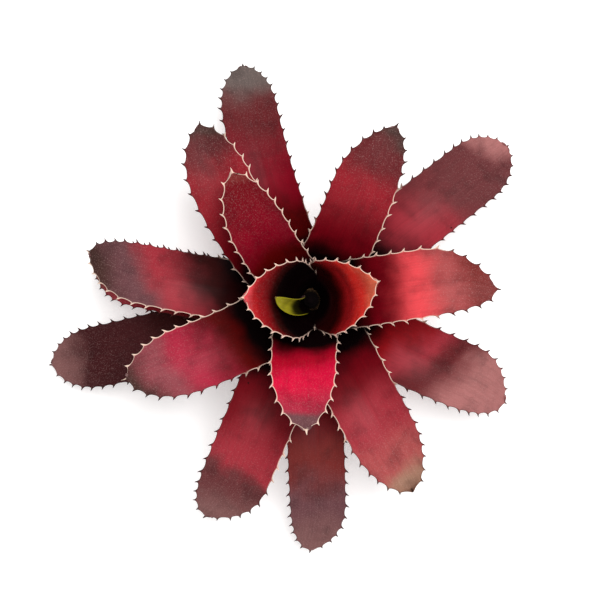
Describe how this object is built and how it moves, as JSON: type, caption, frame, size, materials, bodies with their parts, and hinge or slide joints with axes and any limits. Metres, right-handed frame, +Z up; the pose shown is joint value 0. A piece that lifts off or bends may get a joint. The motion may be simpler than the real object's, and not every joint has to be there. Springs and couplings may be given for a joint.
{
  "type": "bromeliad",
  "caption": "Rosette of spiny-edged strap leaves that clasp a short stem in a spiral, with a water cup in the middle; it stands on the stem's flat cut end.",
  "frame": {"origin": "centre of the stem's flat cut face, on the surface that the plant stands on", "axes": "+Z up along the stem, +X to the right and -Y towards the viewer of the rosette's front"},
  "size_m": [0.3989, 0.4152, 0.1716],
  "materials": {
    "stem": "dry, fibrous brown stem with a paler cut end",
    "young_leaf": "yellow-green rolled leaf, satin",
    "cup_leaf": "glossy orange-red leaf with a cream spiny margin, dark inside the cup",
    "inner_leaf": "satin crimson leaf with a cream spiny margin",
    "middle_leaf": "satin red leaf, maroon towards the tip, finely speckled",
    "outer_leaf": "satin maroon leaf, grey towards the tip, finely speckled, with dark spines"
  },
  "bodies": {
    "root": {"stem": "stem", "young_leaf": "young_leaf", "cup_leaf_left": "cup_leaf", "cup_leaf_right": "cup_leaf", "inner_leaf_front": "inner_leaf", "inner_leaf_back": "inner_leaf", "middle_leaf_right": "middle_leaf", "middle_leaf_back_right": "middle_leaf", "middle_leaf_front_left": "middle_leaf", "middle_leaf_back_left": "middle_leaf", "middle_leaf_front_right": "middle_leaf", "outer_leaf_left": "outer_leaf", "outer_leaf_front_left": "outer_leaf", "outer_leaf_right": "outer_leaf", "outer_leaf_back": "outer_leaf", "outer_leaf_front": "outer_leaf", "outer_leaf_back_right": "outer_leaf", "outer_leaf_left_under": "outer_leaf", "outer_leaf_far_left": "outer_leaf"}
  },
  "joints": []
}
